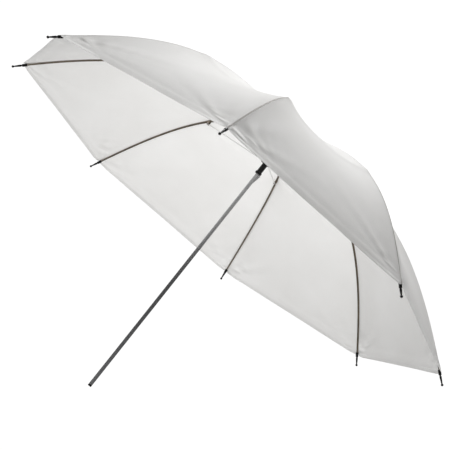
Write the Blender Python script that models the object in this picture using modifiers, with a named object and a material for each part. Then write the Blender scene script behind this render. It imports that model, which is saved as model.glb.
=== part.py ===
"""Umbrella reflector: an eight-rib white diffusing umbrella for studio lamps, open.

The shaft runs along +Z from its free end, at the origin, to the crown.
Lengths are in metres. Every sector is modelled at azimuth 0, with X radial and Y
tangential, and is then turned about Z to its own azimuth.
"""

import math

import bmesh
import bpy
import numpy as np
from mathutils import Matrix, Vector

RIBS = 8
SECTOR = 2 * math.pi / RIBS

# Shaft, its end plug and the crown
SHAFT_R = 0.0035
SHAFT_WALL = 0.0005
SHAFT_TOP = 0.6220
PLUG_HEAD = 0.0032
PLUG_SPIGOT = 0.0120
BORE_R = SHAFT_R + 0.0003
BOSS_R = 0.0062
BOSS_Z = 0.5980
DISC_R = 0.0112
DISC_Z = 0.6050
DISC_TOP = 0.6125
CHAMFER = 0.0004
WASHER_R = 0.0128
WASHER_Z = 0.6142
WASHER_TOP = 0.6153
CAP_Z = 0.6157
CAP_BLIND = 0.6235
CAP_TOP = 0.6305

# Ribs: the centreline's two hinge stations and its end, with the droop at each
HINGE_R = 0.0092
CROWN_Z = 0.6100
JOINT = (0.2466, 0.5775)
CORNER = (0.4919, 0.4012)
JOINT_DROOP = math.radians(20.5)
CORNER_DROOP = math.radians(43.9)
FLEX_REACH = 0.0130
FLEX_GAP = 0.0005
RIB_W = 0.0032
RIB_H = 0.0028
RIB_WALL = 0.00055
TAB_T = 0.0016
TAB_END = 0.0180
CHANNEL_START = 0.0130
EYE_R = 0.0019
EYE_HOLE_R = 0.00085
WIRE_R = 0.0006

# Stretcher pivot on the rib
PIVOT_DROP = 0.0062
PLATE_IN = 0.0015
PLATE_OUT = 0.0021
PLATE_LONG = 0.0090
PLATE_DEEP = 0.0086
RIVET_R = 0.0010
RIVET_HEAD_R = 0.0019
RIVET_HEAD = 0.0007
STRETCH_R = 0.0010
STRETCH_EYE_R = 0.0022
STRETCH_RING_R = 0.0015

# Runner
FLANGE_Z = 0.5037
FLANGE_R = 0.0065
FLANGE_H = 0.0042
SLEEVE_R = 0.0053
SLEEVE_TOP = 0.5284
RING_R = 0.0107
RING_TOP = 0.5390
SLOT_W = 0.0026

# Catch spring in the shaft, with its window through the tube's wall
CATCH_PIVOT = (-0.0020, 0.4820)
CATCH_HALF = 0.0011
CATCH_PIN_R = 0.0005
CATCH_PIN_HALF = 0.0028
WINDOW_HALF = 0.00135
WINDOW_Z = (0.4795, 0.5045)
CATCH_PROFILE = (
    (-0.0030, 0.4802),
    (-0.0033, 0.4814),
    (-0.0071, 0.5002),
    (-0.0071, 0.5025),
    (-0.0022, 0.5025),
    (-0.0012, 0.4850),
    (-0.0010, 0.4805),
)

# Canopy
FABRIC_LIFT = 0.0030
FABRIC_RISE = 0.0011
FABRIC_RISE_END = 0.0800
FABRIC_T = 0.0008
HEM_T = 0.0014
FABRIC_INNER_R = 0.0050
GORE_SAG = 0.0170
SEAM_GAP = 0.00015
FABRIC_STATIONS = 13
FABRIC_ACROSS = 3

# Tip caps
SOCKET_R = 0.0028
SOCKET_LONG = 0.0105
STEM_R = 0.0020
STEM_END_R = 0.0014
BALL_AT = 0.0173
BALL_R = 0.0024


# ---------------------------------------------------------------- scene helpers

for old in list(bpy.data.objects):
    bpy.data.objects.remove(old, do_unlink=True)
scene = bpy.context.scene
parts = bpy.data.collections.new("Umbrella reflector")
cutters = bpy.data.collections.new("Cutters")
scene.collection.children.link(parts)
scene.collection.children.link(cutters)
cutters.hide_render = True


def material(name, colour, rough, metal=0.0, transmission=0.0):
    made = bpy.data.materials.new(name)
    made.use_nodes = True
    shader = made.node_tree.nodes["Principled BSDF"]
    shader.inputs["Base Color"].default_value = (*colour, 1)
    shader.inputs["Roughness"].default_value = rough
    shader.inputs["Metallic"].default_value = metal
    shader.inputs["Transmission Weight"].default_value = transmission
    made.diffuse_color = (*colour, 1)
    return made


SHAFT_STEEL = material("Shaft steel", (0.62, 0.63, 0.65), 0.22, 1.0)
RIB_STEEL = material("Rib steel", (0.16, 0.15, 0.14), 0.38, 1.0)
WIRE_STEEL = material("Stretcher wire", (0.72, 0.72, 0.72), 0.28, 1.0)
SPRING_STEEL = material("Spring steel", (0.45, 0.45, 0.46), 0.30, 1.0)
BLACK = material("Black plastic", (0.015, 0.015, 0.016), 0.25)
WHITE_NYLON = material("White diffusion cloth", (0.88, 0.88, 0.87), 0.75)


def solid(name, vertices, faces):
    """A mesh from its vertices and faces, with the normals facing out."""
    mesh = bpy.data.meshes.new(name)
    mesh.from_pydata([tuple(v) for v in vertices], [], [tuple(f) for f in faces])
    shell = bmesh.new()
    shell.from_mesh(mesh)
    bmesh.ops.recalc_face_normals(shell, faces=shell.faces)
    shell.to_mesh(mesh)
    shell.free()
    return mesh


def stations_to_solid(name, rings):
    """Closed solid through equal rings of points, the first and last ring capped."""
    count = len(rings[0])
    vertices = [p for ring in rings for p in ring]
    faces = [list(range(count)), list(range((len(rings) - 1) * count, len(rings) * count))]
    for i in range(len(rings) - 1):
        for j in range(count):
            k = (j + 1) % count
            faces.append((i * count + j, i * count + k, (i + 1) * count + k, (i + 1) * count + j))
    return solid(name, vertices, faces)


def helper(mesh):
    """An object outside the model that shapes a part: a cutter, or a base before it is joined."""
    made = bpy.data.objects.new(f"{mesh.name}_tool", mesh)
    made.hide_render = True
    made.display_type = "WIRE"
    cutters.objects.link(made)
    return made


def evaluated(made, name):
    """The object's mesh with its modifiers applied, facing out."""
    bpy.context.view_layer.update()
    graph = bpy.context.evaluated_depsgraph_get()
    mesh = bpy.data.meshes.new_from_object(made.evaluated_get(graph))
    mesh.name = name
    shell = bmesh.new()
    shell.from_mesh(mesh)
    bmesh.ops.remove_doubles(shell, verts=shell.verts[:], dist=1e-6)
    bmesh.ops.recalc_face_normals(shell, faces=shell.faces)
    shell.to_mesh(mesh)
    shell.free()
    return mesh


def lathe(name, profile, steps=28):
    """Solid of revolution: a closed (radius, z) profile turned about Z by a Screw modifier."""
    edges = []
    for i, (radius, _) in enumerate(profile):
        k = (i + 1) % len(profile)
        if radius > 0 or profile[k][0] > 0:
            edges.append((i, k))
    outline = bpy.data.meshes.new(f"{name}_profile")
    outline.from_pydata([(radius, 0, z) for radius, z in profile], edges, [])
    turned = helper(outline)
    screw = turned.modifiers.new("turn", "SCREW")
    screw.axis = "Z"
    screw.steps = steps
    screw.render_steps = steps
    screw.use_merge_vertices = True
    screw.merge_threshold = 0.00001
    made = evaluated(turned, name)
    bpy.data.objects.remove(turned)
    return made


def plate(name, outline, half):
    """A flat outline of (x, z) points, thickened along Y to half on either side."""
    curve = bpy.data.curves.new(name, "CURVE")
    curve.dimensions = "2D"
    curve.fill_mode = "BOTH"
    curve.extrude = half
    spline = curve.splines.new("POLY")
    spline.points.add(len(outline) - 1)
    for point, (x, z) in zip(spline.points, outline):
        point.co = (x, z, 0, 1)
    spline.use_cyclic_u = True
    made = bpy.data.objects.new(f"{name}_outline", curve)
    cutters.objects.link(made)
    mesh = evaluated(made, name)
    bpy.data.objects.remove(made)
    mesh.transform(Matrix.Rotation(math.pi / 2, 4, "X"))
    return mesh


def box(name, low, high):
    made = bpy.data.meshes.new(name)
    shell = bmesh.new()
    bmesh.ops.create_cube(shell, size=1)
    size = Vector(high) - Vector(low)
    middle = (Vector(high) + Vector(low)) / 2
    shell.transform(Matrix.Translation(middle) @ Matrix.Diagonal((*size, 1)))
    shell.to_mesh(made)
    shell.free()
    return made


def rod_y(name, radius, half, at, steps=20):
    """Cylinder along Y about the point at = (x, z)."""
    made = bpy.data.meshes.new(name)
    shell = bmesh.new()
    bmesh.ops.create_cone(
        shell, cap_ends=True, segments=steps, radius1=radius, radius2=radius, depth=2 * half
    )
    turn = Matrix.Rotation(math.pi / 2, 4, "X") @ Matrix.Rotation(math.pi / steps, 4, "Z")
    shell.transform(Matrix.Translation((at[0], 0, at[1])) @ turn)
    shell.to_mesh(made)
    shell.free()
    return made


def torus(name, major, minor, z, around=32, section=8):
    bpy.ops.mesh.primitive_torus_add(
        major_radius=major, minor_radius=minor, major_segments=around, minor_segments=section,
        location=(0, 0, 0), generate_uvs=False,
    )
    made = bpy.context.object
    mesh = made.data
    mesh.name = name
    bpy.data.objects.remove(made)
    mesh.transform(Matrix.Translation((0, 0, z)))
    return mesh


def combine(mesh, additions=(), cuts=()):
    """The mesh with other meshes joined to it and then cut from it, as one new mesh."""
    base = helper(mesh)
    for kind, tools in (("UNION", additions), ("DIFFERENCE", cuts)):
        for tool in tools:
            step = base.modifiers.new(tool.name, "BOOLEAN")
            step.operation = kind
            step.solver = "EXACT"
            step.object = helper(tool)
    bpy.context.view_layer.update()
    graph = bpy.context.evaluated_depsgraph_get()
    made = bpy.data.meshes.new_from_object(base.evaluated_get(graph))
    made.name = mesh.name
    base.modifiers.clear()
    return made


def place(name, mesh, finish, origin=(0, 0, 0), azimuth=0.0):
    """A part whose origin is at the given point of its sector, turned to its azimuth."""
    own = mesh.copy()
    own.name = name
    own.transform(Matrix.Translation(-Vector(origin)))
    own.materials.clear()
    own.materials.append(finish)
    made = bpy.data.objects.new(name, own)
    made.matrix_world = Matrix.Rotation(azimuth, 4, "Z") @ Matrix.Translation(origin)
    parts.objects.link(made)
    return made


# ---------------------------------------------------------------- the rib's centreline


def direction(droop):
    return np.array((math.cos(droop), -math.sin(droop)))


def lift(droop):
    """Unit normal on the convex side, in the sector's plane."""
    return np.array((math.sin(droop), math.cos(droop)))


def span(start, start_droop, end, end_droop, count):
    """Cubic from start to end with the given droop at each, as points (radius, z)."""
    a = np.array(start)
    d = np.array(end)
    reach = np.linalg.norm(d - a) / 3
    b = a + direction(start_droop) * reach
    c = d - direction(end_droop) * reach
    t = np.linspace(0, 1, count)[:, None]
    return a * (1 - t) ** 3 + 3 * b * t * (1 - t) ** 2 + 3 * c * t * t * (1 - t) + d * t**3


inner_line = span((HINGE_R, CROWN_Z), 0.0, JOINT, JOINT_DROOP, 60)
outer_line = span(JOINT, JOINT_DROOP, CORNER, CORNER_DROOP, 60)
centreline = np.vstack([inner_line, outer_line[1:]])
arc = np.concatenate([[0], np.cumsum(np.linalg.norm(np.diff(centreline, axis=0), axis=1))])
RIB_LENGTH = arc[-1]
JOINT_ARC = arc[len(inner_line) - 1]
FLEX_ARC = JOINT_ARC + FLEX_REACH


def on_rib(s):
    """Point (radius, z) and droop at arc length s from the crown hinge."""
    point = np.array([np.interp(s, arc, centreline[:, i]) for i in (0, 1)])
    step = 0.002
    low = max(0.0, s - step)
    high = min(RIB_LENGTH, s + step)
    ahead = [np.interp(high, arc, centreline[:, i]) - np.interp(low, arc, centreline[:, i]) for i in (0, 1)]
    if s < 0:
        return point + np.array((s, 0)), 0.0
    return point, math.atan2(-ahead[1], ahead[0])


FLEX, FLEX_DROOP = on_rib(FLEX_ARC)
PIVOT = np.array(JOINT) - lift(JOINT_DROOP) * PIVOT_DROP
RUNNER_Z = 2 * PIVOT[1] - CROWN_Z


def sweep(name, section, start, end, count, shrink=1.0):
    """The section, as (across, up) points, carried along the rib between two arc lengths."""
    rings = []
    for i, s in enumerate(np.linspace(start, end, count)):
        point, droop = on_rib(s)
        scale = 1 + (shrink - 1) * i / (count - 1)
        ring = []
        for across, up in section:
            x, z = point + lift(droop) * up * scale
            ring.append((x, across * scale, z))
        rings.append(ring)
    return stations_to_solid(name, rings)


def channel_section():
    w = RIB_W / 2
    h = RIB_H / 2
    t = RIB_WALL
    return (
        (-w, -h), (-w + t, -h), (-w + t, h - t), (w - t, h - t),
        (w - t, -h), (w, -h), (w, h), (-w, h),
    )


def in_joint_frame(mesh):
    """Moves a mesh from the frame of the joint station, X along the rib, to the sector's."""
    turn = Matrix.Rotation(JOINT_DROOP, 4, "Y")
    mesh.transform(Matrix.Translation((JOINT[0], 0, JOINT[1])) @ turn)
    return mesh


# ---------------------------------------------------------------- root: shaft, plug, crown


def make_shaft():
    tube = lathe("shaft_tube", (
        (SHAFT_R, PLUG_HEAD + 0.0003), (SHAFT_R, SHAFT_TOP),
        (SHAFT_R - SHAFT_WALL, SHAFT_TOP), (SHAFT_R - SHAFT_WALL, PLUG_HEAD + 0.0003),
    ))
    window = box(
        "catch_window", (-0.0060, -WINDOW_HALF, WINDOW_Z[0]), (-0.0015, WINDOW_HALF, WINDOW_Z[1])
    )
    hole = rod_y("catch_pin_hole", CATCH_PIN_R + 0.0001, 2 * CATCH_PIN_HALF, CATCH_PIVOT)
    return combine(tube, cuts=(window, hole))


def make_plug():
    inside = SHAFT_R - SHAFT_WALL - 0.0001
    return lathe("end_plug", (
        (0, 0), (SHAFT_R - 0.0003, 0), (SHAFT_R, 0.0003), (SHAFT_R, PLUG_HEAD),
        (inside, PLUG_HEAD), (inside, PLUG_SPIGOT - 0.0005), (inside - 0.0005, PLUG_SPIGOT),
        (0, PLUG_SPIGOT),
    ))


def make_crown():
    disc = lathe("crown", (
        (BORE_R, BOSS_Z), (BOSS_R - CHAMFER, BOSS_Z), (BOSS_R, BOSS_Z + CHAMFER), (BOSS_R, DISC_Z),
        (DISC_R - CHAMFER, DISC_Z), (DISC_R, DISC_Z + CHAMFER), (DISC_R, DISC_TOP - CHAMFER),
        (DISC_R - CHAMFER, DISC_TOP), (BORE_R, DISC_TOP),
    ), 32)
    slots = []
    for i in range(RIBS):
        slot = box(f"rib_slot_{i + 1}", (0.0068, -0.0012, 0.6040), (0.0140, 0.0012, 0.6140))
        slot.transform(Matrix.Rotation(i * SECTOR, 4, "Z"))
        slots.append(slot)
    groove = torus("crown_wire_groove", HINGE_R, WIRE_R + 0.0003, CROWN_Z)
    return combine(disc, cuts=(*slots, groove))


def make_washer():
    return lathe("apex_washer", (
        (BORE_R, WASHER_Z), (WASHER_R - CHAMFER, WASHER_Z), (WASHER_R, WASHER_Z + CHAMFER),
        (WASHER_R, WASHER_TOP - CHAMFER), (WASHER_R - 2 * CHAMFER, WASHER_TOP), (BORE_R, WASHER_TOP),
    ), 32)


def make_ferrule():
    """Blind cap with a domed, tapering end."""
    waist = 0.0046
    return lathe("ferrule_cap", (
        (BORE_R, CAP_Z), (BOSS_R - CHAMFER, CAP_Z), (BOSS_R, CAP_Z + CHAMFER), (BOSS_R, CAP_Z + 0.0040),
        (waist + 0.0006, CAP_TOP - 0.0065), (waist, CAP_TOP - 0.0030), (waist * 0.75, CAP_TOP - 0.0009),
        (waist * 0.33, CAP_TOP - 0.0001), (0, CAP_TOP), (0, CAP_BLIND), (BORE_R, CAP_BLIND),
    ))


place("shaft", make_shaft(), SHAFT_STEEL)
place("shaft_end_plug", make_plug(), BLACK)
place("crown", make_crown(), BLACK)
place("crown_wire", torus("crown_wire", HINGE_R, WIRE_R, CROWN_Z), SPRING_STEEL, (0, 0, CROWN_Z))
place("apex_washer", make_washer(), BLACK)
place("ferrule_cap", make_ferrule(), BLACK)
place("catch_pin", rod_y("catch_pin", CATCH_PIN_R, CATCH_PIN_HALF, CATCH_PIVOT), SPRING_STEEL)


# ---------------------------------------------------------------- runner and catch spring


def make_runner():
    body = lathe("runner", (
        (BORE_R, FLANGE_Z), (FLANGE_R - 0.0004, FLANGE_Z), (FLANGE_R, FLANGE_Z + 0.0004),
        (FLANGE_R, FLANGE_Z + FLANGE_H - 0.0004), (FLANGE_R - 0.0004, FLANGE_Z + FLANGE_H),
        (SLEEVE_R, FLANGE_Z + FLANGE_H), (SLEEVE_R, SLEEVE_TOP), (RING_R - 0.0005, SLEEVE_TOP),
        (RING_R, SLEEVE_TOP + 0.0005), (RING_R, RING_TOP - 0.0005), (RING_R - 0.0005, RING_TOP),
        (BORE_R, RING_TOP),
    ), 32)
    slots = []
    for i in range(RIBS):
        low = (0.0072, -SLOT_W / 2, SLEEVE_TOP - 0.001)
        slot = box(f"runner_slot_{i + 1}", low, (0.0140, SLOT_W / 2, RING_TOP + 0.001))
        slot.transform(Matrix.Rotation(i * SECTOR, 4, "Z"))
        slots.append(slot)
    groove = torus("runner_wire_groove", HINGE_R, WIRE_R + 0.0003, RUNNER_Z)
    return combine(body, cuts=(*slots, groove))


def make_catch():
    leaf = plate("catch_spring", CATCH_PROFILE, CATCH_HALF)
    return combine(leaf, cuts=(rod_y("catch_eye", CATCH_PIN_R + 0.0001, 0.003, CATCH_PIVOT),))


place("runner", make_runner(), BLACK, (0, 0, RUNNER_Z))
place("catch_spring", make_catch(), SPRING_STEEL, (CATCH_PIVOT[0], 0, CATCH_PIVOT[1]))


# ---------------------------------------------------------------- one sector


def make_rib_inner():
    channel = sweep("rib_inner", channel_section(), CHANNEL_START, FLEX_ARC - FLEX_GAP, 11)
    half = TAB_T / 2
    low = -RIB_H / 2
    tab_section = ((-half, low), (half, low), (half, -low - 0.0001), (-half, -low - 0.0001))
    tab = sweep("rib_tab", tab_section, 0.0004, TAB_END, 4)
    eye = rod_y("rib_eye", EYE_R, half, (HINGE_R, CROWN_Z), 16)
    eye_hole = rod_y("rib_eye_hole", EYE_HOLE_R, 0.003, (HINGE_R, CROWN_Z), 12)
    long = PLATE_LONG / 2
    plates = []
    for side in (-1, 1):
        ends = sorted((side * PLATE_IN, side * PLATE_OUT))
        low_corner = (-long, ends[0], -PLATE_DEEP)
        plates.append(in_joint_frame(box(f"plate_{side}", low_corner, (long, ends[1], 0.0012))))
    saddle = in_joint_frame(box("saddle", (-long, -PLATE_OUT, 0.0012), (long, PLATE_OUT, 0.0019)))
    rivet_hole = rod_y("rivet_hole", RIVET_R + 0.0002, 0.004, PIVOT, 12)
    return combine(channel, (tab, eye, saddle, *plates), (eye_hole, rivet_hole))


def make_rivet():
    edge = PLATE_OUT + 0.0001
    head = edge + RIVET_HEAD
    made = lathe("rivet", (
        (0, -head), (RIVET_HEAD_R * 0.7, -head), (RIVET_HEAD_R, -head + 0.0003),
        (RIVET_HEAD_R, -edge), (RIVET_R, -edge), (RIVET_R, edge),
        (RIVET_HEAD_R, edge), (RIVET_HEAD_R, head - 0.0003), (RIVET_HEAD_R * 0.7, head), (0, head),
    ), 12)
    made.transform(Matrix.Translation((PIVOT[0], 0, PIVOT[1])) @ Matrix.Rotation(math.pi / 2, 4, "X"))
    return made


def make_rib_outer():
    end = RIB_LENGTH - 0.0032
    return sweep("rib_outer", channel_section(), FLEX_ARC + FLEX_GAP, end, 10, 0.8)


def make_stretcher():
    """Round wire with an eye at the ring end and a flat eye at the rivet."""
    start = np.array((HINGE_R, RUNNER_Z))
    run = PIVOT - start
    length = float(np.linalg.norm(run))
    wire = bpy.data.meshes.new("stretcher")
    shell = bmesh.new()
    bmesh.ops.create_cone(
        shell, cap_ends=True, segments=8, radius1=STRETCH_R, radius2=STRETCH_R,
        depth=length - 0.0024,
    )
    shell.transform(Matrix.Rotation(math.pi / 2, 4, "Y"))
    shell.transform(Matrix.Translation((length / 2, 0, 0)))
    shell.to_mesh(wire)
    shell.free()
    ring = rod_y("stretcher_ring", STRETCH_RING_R + 0.0003, STRETCH_R - 0.0001, (0, 0), 16)
    eye = rod_y("stretcher_eye", STRETCH_EYE_R, STRETCH_R - 0.0001, (length, 0), 16)
    ring_hole = rod_y("stretcher_ring_hole", EYE_HOLE_R, 0.003, (0, 0), 10)
    eye_hole = rod_y("stretcher_eye_hole", RIVET_R + 0.0002, 0.003, (length, 0), 12)
    made = combine(wire, (ring, eye), (ring_hole, eye_hole))
    rise = math.atan2(run[1], run[0])
    made.transform(Matrix.Translation((start[0], 0, start[1])) @ Matrix.Rotation(-rise, 4, "Y"))
    return made


def make_tip():
    """Plastic cap over the rib's end, turned about its own axis and then laid along the rib."""
    neck = 0.0016
    ball = []
    for i in range(6):
        bend = math.radians(-150 + i * 150 / 5)
        ball.append((BALL_R * abs(math.sin(bend)), BALL_AT + BALL_R * math.cos(bend)))
    ball[-1] = (0, BALL_AT + BALL_R)
    cap = lathe("tip_cap", (
        (0, -SOCKET_LONG), (SOCKET_R - 0.0003, -SOCKET_LONG), (SOCKET_R, -SOCKET_LONG + 0.0004),
        (SOCKET_R, -0.0014), (SOCKET_R - 0.0005, -0.0006), (neck, -0.0002), (neck, 0.0012),
        (STEM_R, 0.0016), (STEM_R, 0.0032), (STEM_END_R, BALL_AT - BALL_R * 0.95), *ball,
    ), 12)
    cap.transform(Matrix.Rotation(math.pi / 2, 4, "Y"))
    hole = box("tip_hole", (-SOCKET_LONG - 0.001, -0.00155, -0.00140), (-0.0026, 0.00155, 0.00140))
    made = combine(cap, cuts=(hole,))
    turn = Matrix.Rotation(CORNER_DROOP, 4, "Y")
    made.transform(Matrix.Translation((CORNER[0], 0, CORNER[1])) @ turn)
    return made


def fabric_point(s, share, height):
    """Point of the cloth over arc length s; share is -0.5 to 0.5 of the gore either side."""
    point, droop = on_rib(s)
    ridge = point + lift(droop) * height
    side = math.copysign(1, share)
    here = Vector((ridge[0], 0, ridge[1]))
    there = Matrix.Rotation(side * SECTOR, 3, "Z") @ here
    chord = (there - here).length
    part = min(abs(share), 0.5 - SEAM_GAP / chord)
    middle = Matrix.Rotation(side * SECTOR / 2, 3, "Z")
    inward = middle @ Vector((math.sin(droop), 0, math.cos(droop)))
    along = max(0.0, min(1.0, s / RIB_LENGTH))
    sag = GORE_SAG * math.sin(math.pi * along) ** 1.5 * 4 * part * (1 - part)
    return here.lerp(there, part) - inward * sag


def make_panel():
    """The cloth from one gore's middle, over the rib, to the next gore's middle."""
    first = FABRIC_INNER_R - HINGE_R
    along = np.concatenate([
        np.linspace(first, RIB_LENGTH - 0.008, FABRIC_STATIONS),
        [RIB_LENGTH - 0.0078, RIB_LENGTH],
    ])
    across = np.linspace(-0.5, 0.5, 2 * FABRIC_ACROSS + 1)
    rings = []
    for s in along:
        thick = HEM_T if s > RIB_LENGTH - 0.0079 else FABRIC_T
        low = FABRIC_LIFT + FABRIC_RISE * max(0.0, min(1.0, s / FABRIC_RISE_END))
        top = [fabric_point(s, share, low + thick) for share in across]
        under = [fabric_point(s, share, low) for share in across]
        rings.append(top + under[::-1])
    count = len(rings[0])
    columns = count // 2 - 1
    vertices = [p for ring in rings for p in ring]
    faces = []
    for i in range(len(rings) - 1):
        for j in range(count):
            a = i * count + j
            b = i * count + (j + 1) % count
            c = b + count
            d = a + count
            # Both skins share their diagonals, which mirror about the rib, so the skins never cross
            column = min(j, count - 2 - j)
            if (column < columns / 2) == (j < columns):
                faces += [(a, b, c), (a, c, d)]
            else:
                faces += [(a, b, d), (b, c, d)]
    for base in (0, (len(rings) - 1) * count):
        for j in range(count // 2 - 1):
            faces.append((base + j, base + j + 1, base + count - 2 - j, base + count - 1 - j))
    return solid("canopy_panel", vertices, faces)


sector_parts = (
    ("rib_inner", make_rib_inner(), RIB_STEEL, (HINGE_R, 0, CROWN_Z)),
    ("rivet", make_rivet(), SPRING_STEEL, (PIVOT[0], 0, PIVOT[1])),
    ("rib_outer", make_rib_outer(), RIB_STEEL, (FLEX[0], 0, FLEX[1])),
    ("stretcher", make_stretcher(), WIRE_STEEL, (PIVOT[0], 0, PIVOT[1])),
    ("tip_cap", make_tip(), BLACK, (CORNER[0], 0, CORNER[1])),
    ("canopy_panel", make_panel(), WHITE_NYLON, (HINGE_R, 0, CROWN_Z)),
)
for number in range(RIBS):
    for stem, mesh, finish, origin in sector_parts:
        place(f"{stem}_{number + 1}", mesh, finish, origin, number * SECTOR)
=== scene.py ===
"""Umbrella reflector: the looks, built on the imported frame. Metres, in the row frame."""

import math

import bmesh
import bpy
import numpy as np
from mathutils import Matrix, Vector


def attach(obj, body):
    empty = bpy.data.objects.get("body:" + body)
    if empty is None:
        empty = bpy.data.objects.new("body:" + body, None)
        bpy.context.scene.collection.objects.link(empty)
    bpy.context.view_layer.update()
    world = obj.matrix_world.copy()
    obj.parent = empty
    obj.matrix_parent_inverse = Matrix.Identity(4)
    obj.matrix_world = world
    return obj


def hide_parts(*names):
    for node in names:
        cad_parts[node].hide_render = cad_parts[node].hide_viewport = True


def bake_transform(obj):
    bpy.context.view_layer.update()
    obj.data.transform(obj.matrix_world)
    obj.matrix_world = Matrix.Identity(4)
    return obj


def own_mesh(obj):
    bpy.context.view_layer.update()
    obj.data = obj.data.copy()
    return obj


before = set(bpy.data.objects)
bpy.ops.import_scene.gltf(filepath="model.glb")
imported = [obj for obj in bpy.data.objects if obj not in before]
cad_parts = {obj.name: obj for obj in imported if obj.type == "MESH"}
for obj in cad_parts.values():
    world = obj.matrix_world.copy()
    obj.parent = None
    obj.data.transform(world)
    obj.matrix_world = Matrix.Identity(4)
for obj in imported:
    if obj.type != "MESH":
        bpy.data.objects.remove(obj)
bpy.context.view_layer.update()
scene = bpy.context.scene

RIBS = 8
SECTOR = 2 * math.pi / RIBS
SHAFT_R = 0.0035
BORE_R = 0.0038
HINGE_R = 0.0092
CROWN_Z = 0.6100
JOINT = (0.2466, 0.5775)
CORNER = (0.4919, 0.4012)
JOINT_DROOP = math.radians(20.5)
CORNER_DROOP = math.radians(43.9)
FLEX_REACH = 0.0130
PIVOT_DROP = 0.0062
FLANGE_Z = 0.5037
CATCH_PIVOT = (-0.0020, 0.4820)
GORE_SAG = 0.0170
HEM = 0.0070
SEAM_HALF = 0.0032
# The cloth is cut back round each tip cap
TIP_BARE = 0.0065
TIP_WIDTH = 0.0050


# ---------------------------------------------------------------- materials


class Nodes:
    """A material's node tree with short ways to add and join nodes."""

    def __init__(self, name, colour, rough, metal=0.0):
        self.made = bpy.data.materials.new(name)
        self.made.use_nodes = True
        self.made.diffuse_color = (*colour, 1)
        self.tree = self.made.node_tree
        self.shader = self.tree.nodes["Principled BSDF"]
        self.out = self.tree.nodes["Material Output"]
        self.set("Base Color", (*colour, 1))
        self.set("Roughness", rough)
        self.set("Metallic", metal)

    def set(self, socket, value):
        self.shader.inputs[socket].default_value = value

    def add(self, kind, **values):
        node = self.tree.nodes.new(kind)
        for key, value in values.items():
            if hasattr(node, key):
                setattr(node, key, value)
            else:
                node.inputs[key.replace("_", " ")].default_value = value
        return node

    def join(self, source, target):
        self.tree.links.new(source, target)
        return target.node

    def coords(self, scale=(1, 1, 1)):
        place = self.add("ShaderNodeTexCoord")
        mapping = self.add("ShaderNodeMapping")
        mapping.inputs["Scale"].default_value = scale
        self.join(place.outputs["Object"], mapping.inputs["Vector"])
        return mapping.outputs["Vector"]

    def noise(self, where, scale, detail=4.0, rough=0.55):
        node = self.add("ShaderNodeTexNoise")
        node.inputs["Scale"].default_value = scale
        node.inputs["Detail"].default_value = detail
        node.inputs["Roughness"].default_value = rough
        self.join(where, node.inputs["Vector"])
        return node.outputs["Fac"]

    def ramp(self, source, low, high, at=(0.3, 0.7)):
        node = self.add("ShaderNodeValToRGB")
        node.color_ramp.elements[0].position = at[0]
        node.color_ramp.elements[1].position = at[1]
        node.color_ramp.elements[0].color = low
        node.color_ramp.elements[1].color = high
        self.join(source, node.inputs["Fac"])
        return node.outputs["Color"]

    def scaled(self, source, low, high, start=0.0, end=1.0):
        node = self.add("ShaderNodeMapRange")
        node.inputs["From Min"].default_value = start
        node.inputs["From Max"].default_value = end
        node.inputs["To Min"].default_value = low
        node.inputs["To Max"].default_value = high
        self.join(source, node.inputs["Value"])
        return node.outputs["Result"]

    def math(self, operation, a, b=None, c=None):
        node = self.add("ShaderNodeMath", operation=operation)
        for socket, value in zip(node.inputs, (a, b, c)):
            if value is None:
                continue
            if isinstance(value, (int, float)):
                socket.default_value = value
            else:
                self.join(value, socket)
        return node.outputs[0]

    def bump(self, height, strength, distance):
        node = self.add("ShaderNodeBump")
        node.inputs["Strength"].default_value = strength
        node.inputs["Distance"].default_value = distance
        self.join(height, node.inputs["Height"])
        self.join(node.outputs["Normal"], self.shader.inputs["Normal"])
        return node.outputs["Normal"]


def steel(name, dark, light, rough, stretch, grain):
    """Plated or drawn steel: fine marks along Z-stretched noise, and cloudy roughness."""
    n = Nodes(name, light[:3], rough, 1.0)
    marks = n.noise(n.coords(stretch), grain, 5.0, 0.6)
    cloud = n.noise(n.coords(), 55.0, 3.0)
    n.join(n.ramp(marks, dark, light, (0.25, 0.75)), n.shader.inputs["Base Color"])
    mixed = n.math("ADD", n.math("MULTIPLY", marks, 0.5), n.math("MULTIPLY", cloud, 0.5))
    n.join(n.scaled(mixed, rough * 0.75, rough * 1.4, 0.3, 0.7), n.shader.inputs["Roughness"])
    n.bump(marks, 0.12, 0.0001)
    return n.made


def black_plastic(name, level, rough):
    """Moulded black plastic: faint flow marks, a slight haze and fine pits."""
    n = Nodes(name, (level, level, level), rough)
    where = n.coords()
    haze = n.noise(where, 130.0, 5.0)
    pits = n.noise(where, 1500.0, 2.0)
    n.join(
        n.ramp(haze, (level * 0.7, level * 0.7, level * 0.72, 1), (level * 1.5, level * 1.5, level * 1.5, 1)),
        n.shader.inputs["Base Color"],
    )
    n.join(n.scaled(haze, rough * 0.7, rough * 1.5, 0.3, 0.7), n.shader.inputs["Roughness"])
    n.set("Specular IOR Level", 0.22)
    n.set("Coat Weight", 0.06)
    n.set("Coat Roughness", 0.12)
    n.bump(pits, 0.10, 0.00006)
    return n.made


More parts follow.
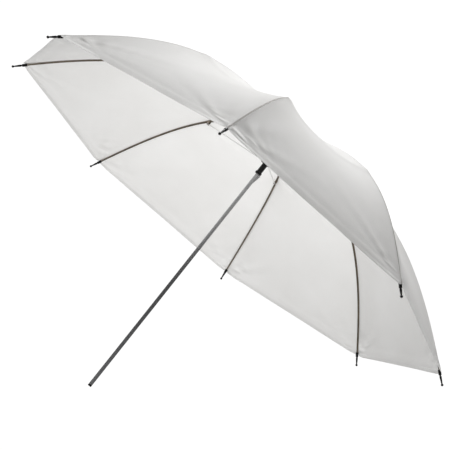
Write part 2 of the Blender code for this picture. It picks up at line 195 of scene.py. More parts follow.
def rib_paint():
    """Dark bronze-grey lacquer over spring steel, rubbed through here and there."""
    n = Nodes("Rib lacquer", (0.17, 0.145, 0.12), 0.40, 0.75)
    where = n.coords()
    wear = n.noise(where, 420.0, 6.0, 0.7)
    tone = n.noise(where, 60.0, 3.0)
    base = n.ramp(tone, (0.17, 0.138, 0.104, 1), (0.29, 0.242, 0.188, 1))
    bare = n.ramp(wear, (0, 0, 0, 1), (1, 1, 1, 1), (0.66, 0.74))
    mix = n.add("ShaderNodeMix", data_type="RGBA")
    n.join(bare, mix.inputs["Factor"])
    n.join(base, mix.inputs["A"])
    mix.inputs["B"].default_value = (0.42, 0.38, 0.33, 1)
    n.join(mix.outputs["Result"], n.shader.inputs["Base Color"])
    n.join(n.scaled(wear, 0.36, 0.56, 0.3, 0.7), n.shader.inputs["Roughness"])
    n.bump(wear, 0.15, 0.00008)
    return n.made


def cloth():
    """Thin white woven nylon that lets light through, doubled at its seams and hem."""
    n = Nodes("White diffusion nylon", (0.90, 0.90, 0.89), 0.62)
    weave_map = n.add("ShaderNodeUVMap", uv_map="Weave")
    seam_map = n.add("ShaderNodeUVMap", uv_map="Seam")
    weave = n.add("ShaderNodeSeparateXYZ")
    seam = n.add("ShaderNodeSeparateXYZ")
    n.join(weave_map.outputs["UV"], weave.inputs["Vector"])
    n.join(seam_map.outputs["UV"], seam.inputs["Vector"])
    pitch = 2 * math.pi / 0.00045
    warp = n.math("SINE", n.math("MULTIPLY", weave.outputs["X"], pitch))
    weft = n.math("SINE", n.math("MULTIPLY", weave.outputs["Y"], pitch))
    threads = n.math("MULTIPLY", warp, weft)
    slub = n.noise(weave_map.outputs["UV"], 240.0, 3.0)
    cloud = n.noise(n.coords(), 9.0, 4.0)
    across = n.math("ABSOLUTE", seam.outputs["X"])
    folded = n.scaled(across, 1.0, 0.0, SEAM_HALF - 0.0002, SEAM_HALF + 0.0002)
    hemmed = n.scaled(seam.outputs["Y"], 1.0, 0.0, HEM - 0.0002, HEM + 0.0002)
    layers = n.math("MAXIMUM", folded, hemmed)
    # Rows of thread either side of the seam, and along the hem's inner edge
    dash = n.math("GREATER_THAN", n.math("SINE", n.math("MULTIPLY", seam.outputs["Y"], 2 * math.pi / 0.0026)), -0.45)
    row = n.math("LESS_THAN", n.math("ABSOLUTE", n.math("SUBTRACT", across, 0.0023)), 0.00022)
    hem_dash = n.math("GREATER_THAN", n.math("SINE", n.math("MULTIPLY", seam.outputs["X"], 2 * math.pi / 0.0026)), -0.45)
    hem_row = n.math("LESS_THAN", n.math("ABSOLUTE", n.math("SUBTRACT", seam.outputs["Y"], HEM - 0.0012)), 0.00022)
    stitch = n.math("MAXIMUM", n.math("MULTIPLY", dash, row), n.math("MULTIPLY", hem_dash, hem_row))
    tone = n.ramp(cloud, (0.870, 0.862, 0.845, 1), (0.910, 0.904, 0.890, 1))
    # Painted shadow: the cloth's colour is darkened in a thin line along each ridge, where the dark rib behind the
    # translucent cloth blocks the light that comes through it
    rib_shadow_line = n.scaled(across, 0.80, 0.0, 0.0010, 0.0020)
    rib_shadowed = n.add("ShaderNodeMix", data_type="RGBA", blend_type="MULTIPLY")
    n.join(rib_shadow_line, rib_shadowed.inputs["Factor"])
    n.join(tone, rib_shadowed.inputs["A"])
    rib_shadowed.inputs["B"].default_value = (0.30, 0.27, 0.24, 1)
    shade = n.add("ShaderNodeMix", data_type="RGBA", blend_type="MULTIPLY")
    n.join(n.scaled(stitch, 0.0, 0.35), shade.inputs["Factor"])
    n.join(rib_shadowed.outputs["Result"], shade.inputs["A"])
    shade.inputs["B"].default_value = (0.55, 0.55, 0.54, 1)
    n.join(shade.outputs["Result"], n.shader.inputs["Base Color"])
    n.join(n.scaled(slub, 0.55, 0.72, 0.3, 0.7), n.shader.inputs["Roughness"])
    n.set("Specular IOR Level", 0.30)
    n.set("Sheen Weight", 0.10)
    n.set("Sheen Roughness", 0.4)
    grain = n.math("ADD", n.math("MULTIPLY", threads, 0.35), n.math("MULTIPLY", slub, 0.6))
    height = n.math("ADD", grain, n.math("MULTIPLY", stitch, 1.6))
    normal = n.bump(height, 0.30, 0.00012)
    through = n.add("ShaderNodeBsdfTranslucent")
    n.join(shade.outputs["Result"], through.inputs["Color"])
    n.join(normal, through.inputs["Normal"])
    blend = n.add("ShaderNodeMixShader")
    n.join(n.scaled(layers, 0.38, 0.26), blend.inputs["Fac"])
    n.join(n.shader.outputs["BSDF"], blend.inputs[1])
    n.join(through.outputs["BSDF"], blend.inputs[2])
    n.join(blend.outputs["Shader"], n.out.inputs["Surface"])
    return n.made


SHAFT_STEEL = steel("Plated shaft steel", (0.36, 0.36, 0.365, 1), (0.46, 0.463, 0.47, 1), 0.24, (1, 1, 0.02), 500.0)
WIRE_STEEL = steel("Drawn wire", (0.70, 0.70, 0.69, 1), (0.90, 0.90, 0.89, 1), 0.34, (1, 1, 1), 500.0)
SPRING_STEEL = steel("Spring steel", (0.30, 0.30, 0.31, 1), (0.52, 0.52, 0.52, 1), 0.28, (1, 1, 0.2), 700.0)
GLOSS_BLACK = black_plastic("Gloss black plastic", 0.004, 0.20)
SATIN_BLACK = black_plastic("Satin black plastic", 0.008, 0.36)
RIB_PAINT = rib_paint()
CLOTH = cloth()


# ---------------------------------------------------------------- mesh helpers


def finish_mesh(mesh, sharp=35):
    shell = bmesh.new()
    shell.from_mesh(mesh)
    bmesh.ops.recalc_face_normals(shell, faces=shell.faces)
    shell.to_mesh(mesh)
    shell.free()
    mesh.shade_smooth()
    mesh.set_sharp_from_angle(angle=math.radians(sharp))
    return mesh


def solid(name, vertices, faces, sharp=35):
    mesh = bpy.data.meshes.new(name)
    mesh.from_pydata([tuple(v) for v in vertices], [], [tuple(f) for f in faces])
    return finish_mesh(mesh, sharp)


def through_rings(name, rings, sharp=35, closed=False):
    """Solid through equal rings of points, capped at both ends unless it closes on itself."""
    count = len(rings[0])
    vertices = [p for ring in rings for p in ring]
    faces = []
    if not closed:
        faces = [list(range(count)), list(range((len(rings) - 1) * count, len(rings) * count))]
    for i in range(len(rings) - (not closed)):
        n = (i + 1) % len(rings)
        for j in range(count):
            k = (j + 1) % count
            faces.append((i * count + j, i * count + k, n * count + k, n * count + j))
    return solid(name, vertices, faces, sharp)


def lathe(name, profile, steps=64, sharp=35):
    vertices = []
    rows = []
    for radius, z in profile:
        if radius == 0:
            rows.append([len(vertices)] * steps)
            vertices.append((0, 0, z))
            continue
        rows.append(list(range(len(vertices), len(vertices) + steps)))
        for i in range(steps):
            turn = 2 * math.pi * i / steps
            vertices.append((radius * math.cos(turn), radius * math.sin(turn), z))
    faces = []
    for here, there in zip(rows, rows[1:] + rows[:1]):
        for i in range(steps):
            k = (i + 1) % steps
            face = list(dict.fromkeys((here[i], here[k], there[k], there[i])))
            if len(face) > 2:
                faces.append(face)
    return solid(name, vertices, faces, sharp)


def rounded(points, radius, steps=4):
    """A closed profile with each convex or concave corner turned into a short arc."""
    made = []
    count = len(points)
    for i in range(count):
        before, here, after = (Vector(points[(i + k) % count]) for k in (-1, 0, 1))
        if here.x == 0 and (before.x == 0 or after.x == 0):
            made.append(tuple(here))
            continue
        reach = min(radius, (before - here).length * 0.45, (after - here).length * 0.45)
        start = here + (before - here).normalized() * reach
        end = here + (after - here).normalized() * reach
        for j in range(steps + 1):
            t = j / steps
            made.append(tuple(start * (1 - t) ** 2 + here * 2 * t * (1 - t) + end * t * t))
    return made


def torus(name, major, minor, z, around=96, section=16):
    rings = []
    for i in range(around):
        turn = 2 * math.pi * i / around
        ring = []
        for j in range(section):
            bend = 2 * math.pi * j / section
            radius = major + minor * math.cos(bend)
            ring.append((radius * math.cos(turn), radius * math.sin(turn), z + minor * math.sin(bend)))
        rings.append(ring)
    return through_rings(name, rings, 80, closed=True)


def box(name, low, high, bevel=0.0):
    mesh = bpy.data.meshes.new(name)
    shell = bmesh.new()
    bmesh.ops.create_cube(shell, size=1)
    size = Vector(high) - Vector(low)
    middle = (Vector(high) + Vector(low)) / 2
    shell.transform(Matrix.Translation(middle) @ Matrix.Diagonal((*size, 1)))
    if bevel:
        bmesh.ops.bevel(shell, geom=shell.edges[:], offset=bevel, segments=3, affect="EDGES", profile=0.5)
    shell.to_mesh(mesh)
    shell.free()
    return finish_mesh(mesh)


def rod_y(name, radius, half, at, steps=32, bevel=0.0):
    mesh = lathe(name, rounded([(0, -half), (radius, -half), (radius, half), (0, half)], bevel or 1e-5, 3), steps)
    mesh.transform(Matrix.Translation((at[0], 0, at[1])) @ Matrix.Rotation(math.pi / 2, 4, "X"))
    return mesh


def combine(mesh, additions=(), cuts=()):
    base = bpy.data.objects.new("base", mesh)
    scene.collection.objects.link(base)
    tools = []
    for kind, group in (("UNION", additions), ("DIFFERENCE", cuts)):
        for tool in group:
            other = bpy.data.objects.new("tool", tool)
            scene.collection.objects.link(other)
            tools.append(other)
            step = base.modifiers.new("step", "BOOLEAN")
            step.operation = kind
            step.solver = "EXACT"
            step.object = other
    bpy.context.view_layer.update()
    graph = bpy.context.evaluated_depsgraph_get()
    made = bpy.data.meshes.new_from_object(base.evaluated_get(graph))
    for other in (base, *tools):
        bpy.data.objects.remove(other)
    made.shade_smooth()
    made.set_sharp_from_angle(angle=math.radians(32))
    return made


def piece(name, mesh, finish, azimuth=0.0):
    own = mesh.copy()
    own.transform(Matrix.Rotation(azimuth, 4, "Z"))
    own.materials.clear()
    own.materials.append(finish)
    made = bpy.data.objects.new(name, own)
    scene.collection.objects.link(made)
    return made


def put(name, mesh, finish, body, nodes, azimuth=0.0):
    made = piece(name, mesh, finish, azimuth)
    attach(made, body)
    if nodes:
        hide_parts(*nodes)
    return made


# ---------------------------------------------------------------- the rib's centreline


def direction(droop):
    return np.array((math.cos(droop), -math.sin(droop)))


def lift(droop):
    return np.array((math.sin(droop), math.cos(droop)))


def span(start, start_droop, end, end_droop, count):
    a = np.array(start)
    d = np.array(end)
    reach = np.linalg.norm(d - a) / 3
    b = a + direction(start_droop) * reach
    c = d - direction(end_droop) * reach
    t = np.linspace(0, 1, count)[:, None]
    return a * (1 - t) ** 3 + 3 * b * t * (1 - t) ** 2 + 3 * c * t * t * (1 - t) + d * t**3


inner_line = span((HINGE_R, CROWN_Z), 0.0, JOINT, JOINT_DROOP, 120)
outer_line = span(JOINT, JOINT_DROOP, CORNER, CORNER_DROOP, 120)
centreline = np.vstack([inner_line, outer_line[1:]])
arc = np.concatenate([[0], np.cumsum(np.linalg.norm(np.diff(centreline, axis=0), axis=1))])
RIB_LENGTH = float(arc[-1])
JOINT_ARC = float(arc[len(inner_line) - 1])
FLEX_ARC = JOINT_ARC + FLEX_REACH


def on_rib(s):
    """Radius, z and droop at arc length s, for a number or an array."""
    s = np.asarray(s, float)
    clipped = np.clip(s, 0.003, RIB_LENGTH - 0.003)
    ahead = [np.interp(clipped + 0.003, arc, centreline[:, i]) for i in (0, 1)]
    behind = [np.interp(clipped - 0.003, arc, centreline[:, i]) for i in (0, 1)]
    droop = np.arctan2(behind[1] - ahead[1], ahead[0] - behind[0])
    r = np.interp(s, arc, centreline[:, 0]) + np.minimum(s, 0)
    z = np.interp(s, arc, centreline[:, 1])
    return r, z, np.where(s <= 0.003, 0.0, droop)


FLEX = tuple(float(v) for v in on_rib(FLEX_ARC)[:2])
PIVOT = np.array(JOINT) - lift(JOINT_DROOP) * PIVOT_DROP
RUNNER_Z = float(2 * PIVOT[1] - CROWN_Z)


# ---------------------------------------------------------------- shaft, crown, runner


def make_shaft():
    tube = lathe("shaft", rounded([
        (SHAFT_R, 0.0035), (SHAFT_R, 0.6220), (SHAFT_R - 0.0005, 0.6220), (SHAFT_R - 0.0005, 0.0035),
    ], 0.00012, 3), 96)
    window = box("window", (-0.006, -0.00135, 0.4795), (-0.0015, 0.00135, 0.5045))
    hole = rod_y("hole", 0.0006, 0.006, CATCH_PIVOT, 24)
    return combine(tube, cuts=(window, hole))


def make_crown():
    disc = lathe("crown", rounded([
        (BORE_R, 0.5980), (0.0062, 0.5980), (0.0062, 0.6050), (0.0112, 0.6050),
        (0.0112, 0.6125), (BORE_R, 0.6125),
    ], 0.0005), 96)
    slots = []
    for i in range(RIBS):
        slot = box("slot", (0.0068, -0.0012, 0.6040), (0.0140, 0.0012, 0.6140))
        slot.transform(Matrix.Rotation(i * SECTOR, 4, "Z"))
        slots.append(slot)
    return combine(disc, cuts=(*slots, torus("groove", HINGE_R, 0.0009, CROWN_Z)))


def make_runner():
    body = lathe("runner", rounded([
        (BORE_R, FLANGE_Z), (0.0065, FLANGE_Z), (0.0065, 0.5079), (0.0053, 0.5079),
        (0.0053, 0.5284), (0.0107, 0.5284), (0.0107, 0.5390), (BORE_R, 0.5390),
    ], 0.0006), 96)
    slots = []
    for i in range(RIBS):
        slot = box("slot", (0.0072, -0.0013, 0.5274), (0.0140, 0.0013, 0.5400))
        slot.transform(Matrix.Rotation(i * SECTOR, 4, "Z"))
        slots.append(slot)
    return combine(body, cuts=(*slots, torus("groove", HINGE_R, 0.0008, RUNNER_Z)))


put("shaft_tube", make_shaft(), SHAFT_STEEL, "shaft", ["shaft"])
put("end_plug", lathe("end_plug", rounded([
    (0, 0), (SHAFT_R, 0), (SHAFT_R, 0.0032), (0.0029, 0.0032), (0.0029, 0.0120), (0, 0.0120),
], 0.0003)), SATIN_BLACK, "shaft", ["shaft_end_plug"])
put("crown_notch", make_crown(), SATIN_BLACK, "shaft", ["crown"])
put("crown_ring", torus("crown_ring", HINGE_R, 0.0006, CROWN_Z), SPRING_STEEL, "shaft", ["crown_wire"])
put("cap_washer", lathe("cap_washer", rounded([
    (BORE_R, 0.6142), (0.0128, 0.6142), (0.0128, 0.6149), (0.0110, 0.6153), (BORE_R, 0.6153),
], 0.0003)), SATIN_BLACK, "shaft", ["apex_washer"])
put("cap", lathe("cap", rounded([
    (BORE_R, 0.6157), (0.0062, 0.6157), (0.0062, 0.6195), (0.0052, 0.6240), (0.0046, 0.6275),
    (0.0034, 0.6296), (0.0015, 0.6304), (0, 0.6305), (0, 0.6235), (BORE_R, 0.6235),
], 0.0005)), GLOSS_BLACK, "shaft", ["ferrule_cap"])
put("runner_body", make_runner(), GLOSS_BLACK, "runner", ["runner"])
put("runner_ring", torus("runner_ring", HINGE_R, 0.00055, RUNNER_Z), SPRING_STEEL, "runner", [])
for kept in ("catch_spring", "catch_pin"):
    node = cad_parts[kept]
    node.data.materials.clear()
    node.data.materials.append(SPRING_STEEL)


# ---------------------------------------------------------------- ribs, brackets, stretchers, tips


def make_channel():
    """The rib's U-section from just past the crown to inside the tip, with soft corners."""
    w, h, t = 0.0016, 0.0014, 0.0005
    section = rounded([
        (-w, -h), (-w + t, -h), (-w + t, h - t), (w - t, h - t), (w - t, -h), (w, -h), (w, h), (-w, h),
    ], 0.00045, 3)
    rings = []
    for s in np.linspace(0.0130, RIB_LENGTH - 0.0032, 90):
        r, z, droop = (float(v) for v in on_rib(s))
        scale = 1 - 0.2 * max(0.0, (s - FLEX_ARC) / (RIB_LENGTH - FLEX_ARC))
        up = lift(droop)
        rings.append([
            (r + up[0] * n * scale, y * scale, z + up[1] * n * scale) for y, n in section
        ])
    return through_rings("rib", rings, 50)


def in_joint_frame(mesh):
    turn = Matrix.Rotation(JOINT_DROOP, 4, "Y")
    mesh.transform(Matrix.Translation((JOINT[0], 0, JOINT[1])) @ turn)
    return mesh


def make_root_tab():
    """The flattened end of the rib with its eye on the crown's ring."""
    tab = box("tab", (HINGE_R, -0.0008, CROWN_Z - 0.0012), (HINGE_R + 0.0160, 0.0008, CROWN_Z + 0.0012), 0.0002)
    eye = rod_y("eye", 0.0019, 0.0008, (HINGE_R, CROWN_Z), 40, 0.0002)
    hole = rod_y("hole", 0.00085, 0.003, (HINGE_R, CROWN_Z), 24)
    return combine(tab, (eye,), (hole,))


def make_bracket():
    """Folded saddle of sheet steel that carries the stretcher's rivet under the rib."""
    outline = []
    for i in range(13):
        turn = math.pi + math.pi * i / 12
        outline.append((0.0028 * math.cos(turn), -0.0060 + 0.0026 * math.sin(turn)))
    outline += [(0.0045, -0.0005), (0.0045, 0.0019), (-0.0045, 0.0019), (-0.0045, -0.0005)]
    plates = []
    for side in (-1, 1):
        near, far = sorted((side * 0.0015, side * 0.0021))
        rings = [[(x, y, z) for x, z in outline] for y in (near, far)]
        plates.append(in_joint_frame(through_rings("plate", rings)))
    saddle = in_joint_frame(box("saddle", (-0.0045, -0.0021, 0.0013), (0.0045, 0.0021, 0.0019), 0.0002))
    hole = rod_y("hole", 0.0012, 0.004, tuple(PIVOT), 32)
    return combine(saddle, plates, (hole,))


def make_rivet():
    made = lathe("rivet", rounded([
        (0, -0.0029), (0.0012, -0.0029), (0.0019, -0.0024), (0.0019, -0.0022), (0.0010, -0.0022),
        (0.0010, 0.0022), (0.0019, 0.0022), (0.0019, 0.0024), (0.0012, 0.0029), (0, 0.0029),
    ], 0.0003), 32)
    made.transform(Matrix.Translation((PIVOT[0], 0, PIVOT[1])) @ Matrix.Rotation(math.pi / 2, 4, "X"))
    return made


def make_stretcher():
    """Drawn wire, pressed flat into an eye at either end."""
    start = np.array((HINGE_R, RUNNER_Z))
    run = PIVOT - start
    length = float(np.linalg.norm(run))
    rings = []
    for x in [0.0012, 0.0030, 0.0060, *np.linspace(0.010, length - 0.012, 20), length - 0.007, length - 0.0035, length - 0.0015]:
        near = min(x, length - x)
        flat = max(0.0, min(1.0, (0.0075 - near) / 0.0045))
        wide = 0.0010 - 0.0001 * flat
        tall = 0.0010 + 0.0005 * flat
        rings.append([
            (x, wide * math.cos(a), tall * math.sin(a)) for a in np.linspace(0, 2 * math.pi, 20, endpoint=False)
        ])
    wire = through_rings("stretcher", rings, 60)
    ring = rod_y("ring", 0.0018, 0.0009, (0, 0), 40, 0.0003)
    eye = rod_y("eye", 0.0022, 0.0009, (length, 0), 40, 0.0003)
    made = combine(wire, (ring, eye), (
        rod_y("hole", 0.00085, 0.003, (0, 0), 24), rod_y("hole", 0.0012, 0.003, (length, 0), 24),
    ))
    rise = math.atan2(run[1], run[0])
    made.transform(Matrix.Translation((start[0], 0, start[1])) @ Matrix.Rotation(-rise, 4, "Y"))
    return made


def make_tip():
    """Socket, waist, tapered stem and ball, turned as one and then laid along the rib."""
    ball = []
    for i in range(17):
        bend = math.radians(-148 + i * 148 / 16)
        ball.append((0.0024 * abs(math.sin(bend)), 0.0173 + 0.0024 * math.cos(bend)))
    ball[-1] = (0, 0.0197)
    shape = [(0, -0.0105), (0.0028, -0.0105), (0.0028, -0.0014), (0.0016, -0.0002), (0.0016, 0.0012),
             (0.0021, 0.0016), (0.0021, 0.0034), (0.0014, 0.0148)]
    cap = lathe("tip", rounded(shape, 0.0004, 3)[:-4] + ball, 48, 50)
    cap.transform(Matrix.Rotation(math.pi / 2, 4, "Y"))
    made = combine(cap, cuts=(box("hole", (-0.0125, -0.00155, -0.0014), (-0.0026, 0.00155, 0.0014)),))
    turn = Matrix.Rotation(CORNER_DROOP, 4, "Y")
    made.transform(Matrix.Translation((CORNER[0], 0, CORNER[1])) @ turn)
    return made


# ---------------------------------------------------------------- canopy


def smooth(t):
    t = np.clip(t, 0, 1)
    return t * t * (3 - 2 * t)


def cover(s):
    """How far the cloth's ridge lies above the rib's centreline: over the crown, rib and tip."""
    over_crown = 0.0033 - 0.0008 * smooth((s - 0.006) / 0.02)
    over_bracket = 0.0014 * np.exp(-(((s - JOINT_ARC) / 0.014) ** 2))
    return over_crown + over_bracket + 0.0009 * smooth((s - (RIB_LENGTH - 0.030)) / 0.016)


def gore_point(s, g, gore):
    """Points of the cloth in one gore: s along the ribs, g from 0 at one rib to 1 at the next."""
    gore %= RIBS
    r, z, droop = on_rib(s)
    high = cover(s)
    ridge_r = r + np.sin(droop) * high
    ridge_z = z + np.cos(droop) * high
    turn = SECTOR * gore
    a = np.stack([ridge_r * np.cos(turn), ridge_r * np.sin(turn), ridge_z], -1)
    b = np.stack([ridge_r * np.cos(turn + SECTOR), ridge_r * np.sin(turn + SECTOR), ridge_z], -1)
    chord = 2 * ridge_r * math.sin(SECTOR / 2)
    middle = turn + SECTOR / 2
    up = np.stack([np.sin(droop) * np.cos(middle), np.sin(droop) * np.sin(middle), np.cos(droop)], -1)
    share = np.clip(s / RIB_LENGTH, 0, 1)
    sag = GORE_SAG * np.sin(math.pi * share) ** 1.5 * 4 * g * (1 - g)
    # Rounding over each rib, so that the cloth doesn't crease to a knife edge
    slope = math.tan(SECTOR / 2) * np.sin(droop)
    soft = 0.0022
    rounding = 0
    for away in (g * chord, (1 - g) * chord):
        rounding = rounding + slope * (np.sqrt(away**2 + soft**2) - away)
    # Tension folds that fan out from the two tips of the gore, and small puckers along the hem
    folds = 0
    for side, away in ((0, g), (1, 1 - g)):
        x = away * chord
        y = RIB_LENGTH - s
        reach = np.sqrt(x * x + y * y) + 1e-6
        angle = np.arctan2(x, y)
        seed = 1.7 * gore + 2.9 * side
        fan = np.sin(11.0 * angle + seed) + 0.55 * np.sin(19.0 * angle + 2.1 * seed)
        size = 0.0009 * smooth(reach / 0.035) * np.exp(-reach / 0.10)
        size = size * smooth(angle / 0.12) * (1 - 0.8 * smooth((angle - 1.0) / 0.4))
        folds = folds + size * fan
    long_wave = 0.0009 * np.sin(2 * math.pi * g * 1.0 + 0.8 * gore) * np.sin(math.pi * share * 1.7 + gore)
    long_wave = long_wave * smooth(g / 0.2) * smooth((1 - g) / 0.2) * smooth((1 - share) / 0.25)
    pucker = 0.00022 * np.sin(g * chord * 2 * math.pi / 0.021 + 1.3 * gore)
    pucker = pucker * np.exp(-(RIB_LENGTH - s) / 0.010) * smooth(g / 0.06) * smooth((1 - g) / 0.06)
    # The rim's edge is drawn in slightly between the tips
    rim = -0.0015 * 4 * g * (1 - g) * smooth((s - (RIB_LENGTH - 0.05)) / 0.05)
    inward = np.stack([np.cos(middle) + 0 * s, np.sin(middle) + 0 * s, 0 * s], -1)
    # Thickness of the doubled seam and hem
    near = np.minimum(g, 1 - g) * chord
    layer = 0.00022 * (1 - smooth((near - SEAM_HALF + 0.0003) / 0.0006))
    layer = np.maximum(layer, 0.00022 * (1 - smooth((RIB_LENGTH - s - HEM + 0.0003) / 0.0006)))
    offset = folds + long_wave + pucker + layer - sag - rounding
    flat = a * (1 - g)[..., None] + b * g[..., None]
    return flat + up * offset[..., None] + inward * rim[..., None]


def boundary(away):
    """Arc length where a petal's inner and outer parts meet; away is the share to the next rib."""
    fall = 2 * away * math.sin(SECTOR / 2) ** 2
    r, _, droop = on_rib(FLEX_ARC)
    return FLEX_ARC + fall * float(r) * math.cos(float(droop))


def petal(name, rib, part):
    """The cloth from one gore's middle, over the rib, to the next, inside or outside the boundary."""
    columns = 15
    close = (0.0, 0.0013, SEAM_HALF - 0.0004, SEAM_HALF + 0.0004, 0.0055)
    if part == "inner":
        along = np.linspace(0, 1, 34)
    else:
        edge = 1 - np.array([HEM + 0.0030, HEM + 0.0005, HEM - 0.0005, 0.0025, 0.0]) / 0.26
        along = np.concatenate([np.linspace(0, edge[0], 40, endpoint=False), edge])
    grid = []
    seam_uv = []
    weave_uv = []
    normals = []
    for v in along:
        row = []
        for side in (-1, 1):
            gore = rib if side > 0 else rib - 1
            half_row = []
            for j in range(columns):
                guess = j / (columns - 1) / 2
                if part == "inner":
                    low, high = 0.0050 - HINGE_R, boundary(guess)
                else:
                    at_hem = close[j] if j < len(close) else guess * 2 * CORNER[0] * math.sin(SECTOR / 2)
                    low = boundary(guess)
                    high = RIB_LENGTH - TIP_BARE * math.exp(-((at_hem / TIP_WIDTH) ** 2))
                s = low + (high - low) * v
                r = float(on_rib(s)[0])
                chord = 2 * (r + 0.001) * math.sin(SECTOR / 2)
                half = chord / 2
                last = min(close[-1], half * 0.6)
                if j < len(close):
                    y = close[j] * last / close[-1]
                else:
                    y = last + (half - last) * (j - len(close) + 1) / (columns - len(close))
                away = y / chord
                g = away if side > 0 else 1 - away
                half_row.append((s, g, gore, side * y, (0.5 - away) * chord * side))
            row.append(half_row)
        full = row[0][::-1] + row[1][1:]
        s = np.array([p[0] for p in full])
        g = np.array([p[1] for p in full])
        gores = np.array([p[2] for p in full])
        points = np.empty((len(full), 3))
        normal = np.empty((len(full), 3))
        step = 1e-5
        for which in (rib - 1, rib):
            m = gores == which
            points[m] = gore_point(s[m], g[m], which)
            ds = gore_point(s[m] + step, g[m], which) - gore_point(s[m] - step, g[m], which)
            lo = np.clip(g[m] - 1e-4, 0, 1)
            hi = np.clip(g[m] + 1e-4, 0, 1)
            dg = gore_point(s[m], hi, which) - gore_point(s[m], lo, which)
            normal[m] = np.cross(ds, dg)
        # On the ridge itself the cloth is symmetric, so its normal lies in the rib's plane
        centre = len(row[0]) - 1
        turn = SECTOR * rib
        side_way = np.array((-math.sin(turn), math.cos(turn), 0))
        normal[centre] -= side_way * (normal[centre] @ side_way)
        normal /= np.linalg.norm(normal, axis=1)[:, None]
        normals.append(normal)
        grid.append(points)
        seam_uv.append([(p[3], RIB_LENGTH - p[0]) for p in full])
        weave_uv.append([(p[4], p[0]) for p in full])
    grid = np.array(grid)
    rows, cols = grid.shape[:2]
    faces = []
    for i in range(rows - 1):
        for j in range(cols - 1):
            a = i * cols + j
            faces.append((a, a + cols, a + cols + 1, a + 1))
    mesh = bpy.data.meshes.new(name)
    mesh.from_pydata(grid.reshape(-1, 3).tolist(), [], faces)
    mesh.shade_smooth()
    for label, values in (("Weave", weave_uv), ("Seam", seam_uv)):
        flat = np.array(values).reshape(-1, 2)
        layer = mesh.uv_layers.new(name=label)
        corners = np.empty(len(mesh.loops), np.int32)
        mesh.loops.foreach_get("vertex_index", corners)
        layer.data.foreach_set("uv", flat[corners].astype(np.float32).ravel())
    mesh.normals_split_custom_set_from_vertices(np.array(normals).reshape(-1, 3).tolist())
    mesh.materials.append(CLOTH)
    made = bpy.data.objects.new(name, mesh)
    scene.collection.objects.link(made)
    return made


def area_of(made):
    return sum(p.area for p in made.data.polygons)


# ---------------------------------------------------------------- the eight sectors

channel = make_channel()
root_tab = make_root_tab()
bracket = make_bracket()
rivet = make_rivet()
stretcher = make_stretcher()
tip = make_tip()
for i in range(RIBS):
    n = i + 1
    turn = i * SECTOR
    out = Vector((math.cos(turn), math.sin(turn), 0))
    side = Vector((-math.sin(turn), math.cos(turn), 0))
    rib = piece(f"rib_{n}", channel, RIB_PAINT, turn)
    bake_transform(rib)
    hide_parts(f"rib_inner_{n}", f"rib_outer_{n}")
    put(f"rib_root_{n}", root_tab, RIB_PAINT, f"rib_inner_{n}", [], turn)
    put(f"bracket_{n}", bracket, RIB_PAINT, f"rib_inner_{n}", [], turn)
    put(f"bracket_rivet_{n}", rivet, SPRING_STEEL, f"rib_inner_{n}", [f"rivet_{n}"], turn)
    put(f"strut_{n}", stretcher, WIRE_STEEL, f"stretcher_{n}", [f"stretcher_{n}"], turn)
    put(f"tip_{n}", tip, GLOSS_BLACK, f"rib_outer_{n}", [f"tip_cap_{n}"], turn)
    for part, body, keep in (("inner", "rib_inner", 0.07), ("outer", "rib_outer", 0.045)):
        made = petal(f"cloth_{part}_{n}", i, part)
        size = area_of(made)
        low = np.array([v.co for v in made.data.vertices])
        wide = float(np.ptp(low @ np.array(side)))
        long = float(np.hypot(np.ptp(low @ np.array(out)), np.ptp(low[:, 2])))
        long = max(long, size / wide * 1.02)
        if part == "inner":
            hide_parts(f"canopy_panel_{n}")
        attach(made, f"{body}_{n}")
        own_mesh(made)


# ---------------------------------------------------------------- stage, light and camera


def plain(name, colour, rough):
    n = Nodes(name, colour, rough)
    n.join(n.ramp(n.noise(n.coords(), 2.0), (*(c * 0.98 for c in colour), 1), (*colour, 1)), n.shader.inputs["Base Color"])
    return n.made


floor = bpy.data.objects.new("floor", lathe("floor", [(0, -0.62), (7.0, -0.62), (7.0, -0.60), (0, -0.60)], 96))
floor.data.materials.append(plain("Pale floor", (0.86, 0.86, 0.86), 0.8))
scene.collection.objects.link(floor)

PICTURE_RIGHT = Vector((-0.793406, 0.000569, 0.608693))
PICTURE_UP = Vector((0.588878, 0.253794, 0.767341))
PICTURE_FORWARD = Vector((0.154046, -0.967258, 0.201697))
AIM = Vector((0.02, 0.0, 0.40))
# The light stands above and behind the umbrella, so that it shines through the far cloth
TO_KEY = (PICTURE_UP * 0.74 + PICTURE_FORWARD * 0.56 + PICTURE_RIGHT * 0.40).normalized()

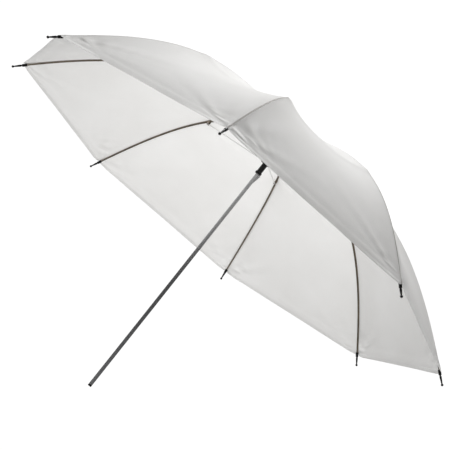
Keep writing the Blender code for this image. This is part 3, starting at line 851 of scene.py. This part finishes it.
world = bpy.data.worlds.new("Studio")
scene.world = world
world.use_nodes = True
sky = world.node_tree
sky.nodes.clear()
output = sky.nodes.new("ShaderNodeOutputWorld")
mix = sky.nodes.new("ShaderNodeMixShader")
path = sky.nodes.new("ShaderNodeLightPath")
seen = sky.nodes.new("ShaderNodeBackground")
seen.inputs["Color"].default_value = (1, 1, 1, 1)
seen.inputs["Strength"].default_value = 1.05
lit = sky.nodes.new("ShaderNodeBackground")
lit.inputs["Strength"].default_value = 0.23
where = sky.nodes.new("ShaderNodeTexCoord")
dot = sky.nodes.new("ShaderNodeVectorMath")
dot.operation = "DOT_PRODUCT"
dot.inputs[1].default_value = TO_KEY
tone = sky.nodes.new("ShaderNodeValToRGB")
tone.color_ramp.elements[0].position = 0.15
tone.color_ramp.elements[0].color = (0.42, 0.42, 0.42, 1)
tone.color_ramp.elements[1].position = 0.85
tone.color_ramp.elements[1].color = (1.0, 1.0, 1.0, 1)
spread = sky.nodes.new("ShaderNodeMapRange")
spread.inputs["From Min"].default_value = -1
spread.inputs["From Max"].default_value = 1
sky.links.new(where.outputs["Generated"], dot.inputs[0])
sky.links.new(dot.outputs["Value"], spread.inputs["Value"])
sky.links.new(spread.outputs["Result"], tone.inputs["Fac"])
sky.links.new(tone.outputs["Color"], lit.inputs["Color"])
sky.links.new(path.outputs["Is Camera Ray"], mix.inputs["Fac"])
sky.links.new(lit.outputs["Background"], mix.inputs[1])
sky.links.new(seen.outputs["Background"], mix.inputs[2])
sky.links.new(mix.outputs["Shader"], output.inputs["Surface"])


def soft_light(name, at, size, power):
    data = bpy.data.lights.new(name, "AREA")
    data.shape = "SQUARE"
    data.size = size
    data.energy = power
    made = bpy.data.objects.new(name, data)
    made.location = at
    made.rotation_euler = (AIM - Vector(at)).to_track_quat("-Z", "Y").to_euler()
    scene.collection.objects.link(made)


soft_light("Key", AIM + TO_KEY * 2.5, 1.5, 84)
soft_light("Fill", AIM - PICTURE_RIGHT * 2.2 - PICTURE_FORWARD * 1.2, 1.8, 6)

view = bpy.data.cameras.new("Camera")
view.lens = 104.218
view.sensor_width = 36
view.clip_start = 0.05
view.clip_end = 60
camera = bpy.data.objects.new("Camera", view)
camera.matrix_world = Matrix((
    (PICTURE_RIGHT.x, PICTURE_UP.x, -PICTURE_FORWARD.x, -0.385536),
    (PICTURE_RIGHT.y, PICTURE_UP.y, -PICTURE_FORWARD.y, 2.347992),
    (PICTURE_RIGHT.z, PICTURE_UP.z, -PICTURE_FORWARD.z, -0.102126),
    (0, 0, 0, 1),
))
scene.collection.objects.link(camera)
scene.camera = camera
scene.view_settings.view_transform = "Standard"
scene.view_settings.look = "None"
